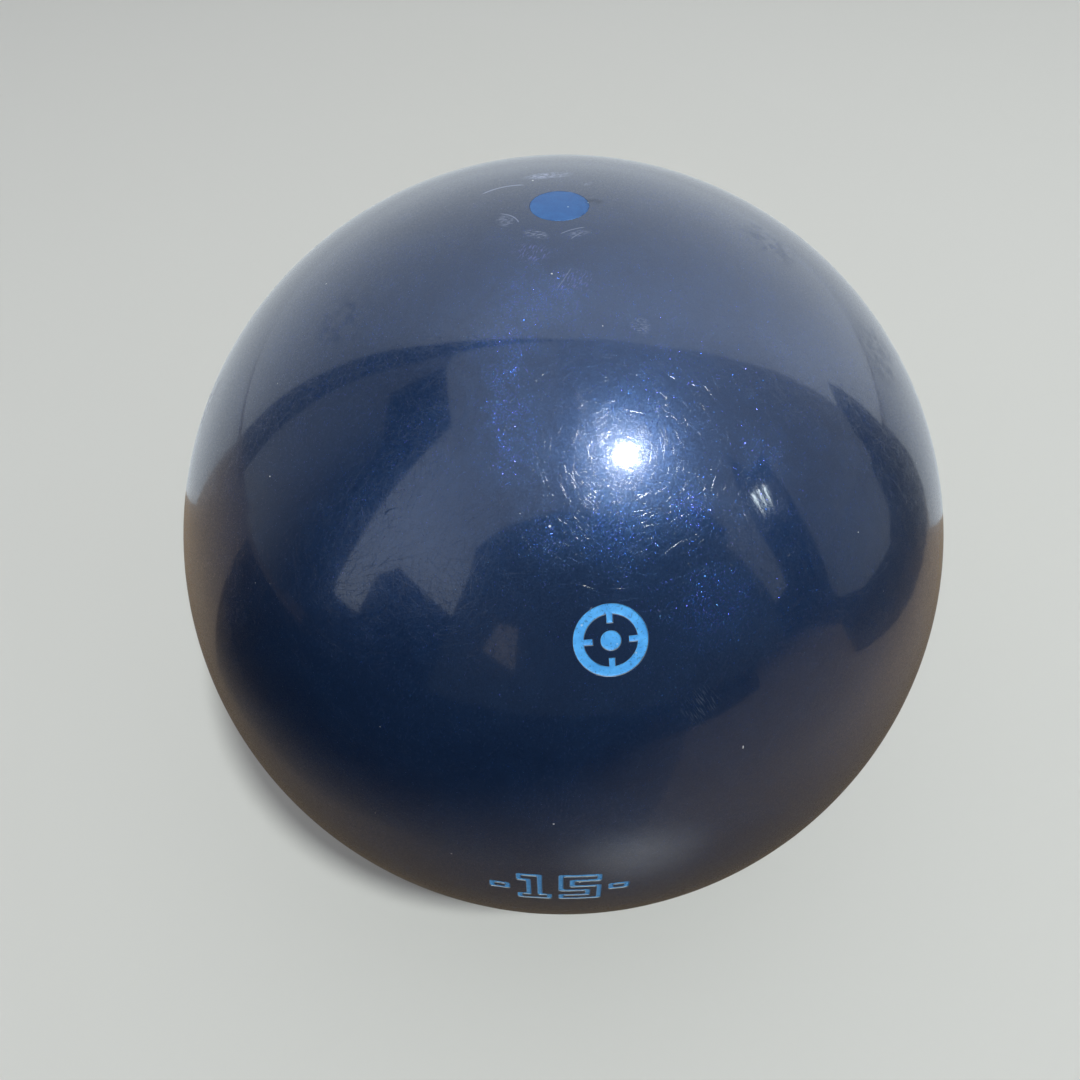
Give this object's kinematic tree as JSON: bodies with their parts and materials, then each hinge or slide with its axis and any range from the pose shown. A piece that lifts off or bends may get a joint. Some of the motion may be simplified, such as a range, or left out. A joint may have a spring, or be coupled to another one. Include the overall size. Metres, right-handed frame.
{
  "type": "bowling ball",
  "caption": "Undrilled bowling ball: glossy navy pearl cover over a light filler core and a dense asymmetric weight block, with a blue pin plug and painted marks.",
  "frame": {"origin": "centre of the ball", "axes": "+Z out through the middle of the pin plug, -Y out through the middle of the weight number, +X to the right of the number as it is read"},
  "size_m": [0.217, 0.217, 0.217],
  "materials": {
    "coverstock_pearl": "deep navy pearl resin, polished",
    "filler": "light cast filler with glass bubbles, matte",
    "weight_block": "mineral-filled cast resin, matte",
    "nucleus": "dense mineral-filled cast resin, matte",
    "side_mass": "dense mineral-filled cast resin, matte",
    "dowel": "cast polyester rod, satin",
    "pin": "light blue cast plug, polished flush",
    "paint": "light blue fill paint, satin"
  },
  "bodies": {
    "root": {"coverstock": "coverstock_pearl", "outer_core": "filler", "weight_block": "weight_block", "core_nucleus": "nucleus", "side_mass_left": "side_mass", "side_mass_right": "side_mass", "core_dowel": "dowel", "pin_plug": "pin", "centre_ring_paint": "paint", "centre_dot_paint": "paint", "numeral_one_paint": "paint", "numeral_five_paint": "paint", "left_dash_paint": "paint", "right_dash_paint": "paint"}
  },
  "joints": []
}
